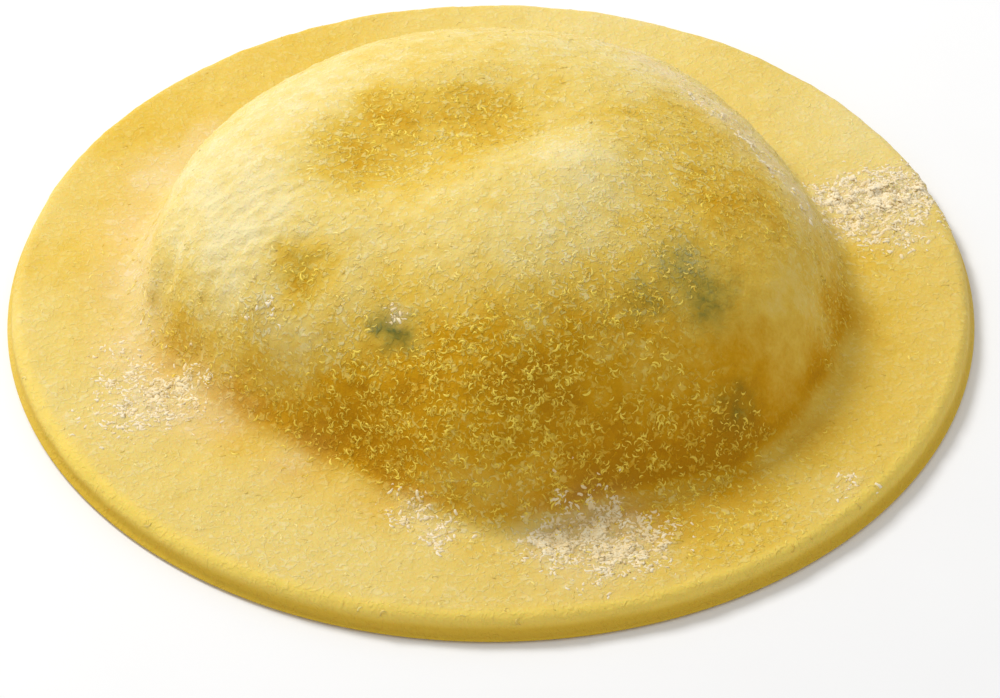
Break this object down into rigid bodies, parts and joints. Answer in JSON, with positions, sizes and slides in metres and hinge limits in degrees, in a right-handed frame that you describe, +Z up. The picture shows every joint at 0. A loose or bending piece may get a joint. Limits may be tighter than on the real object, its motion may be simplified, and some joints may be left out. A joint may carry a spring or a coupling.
{
  "type": "ravioli",
  "caption": "Round filled pasta: two discs of egg dough sealed over a domed mound of filling, with a thin cut rim and a flat underside.",
  "frame": {"origin": "middle of the flat underside, on the table", "axes": "+Z up through the top of the dome, -Y towards the viewer, +X to the viewer's right"},
  "size_m": [0.068, 0.068, 0.0158],
  "materials": {
    "egg_pasta": "matt, dusted with flour",
    "semolina": "hard yellow grains stuck to the dough",
    "flour": "pale dry clumps in patches"
  },
  "bodies": {
    "root": {"ravioli": "egg_pasta"}
  },
  "joints": []
}
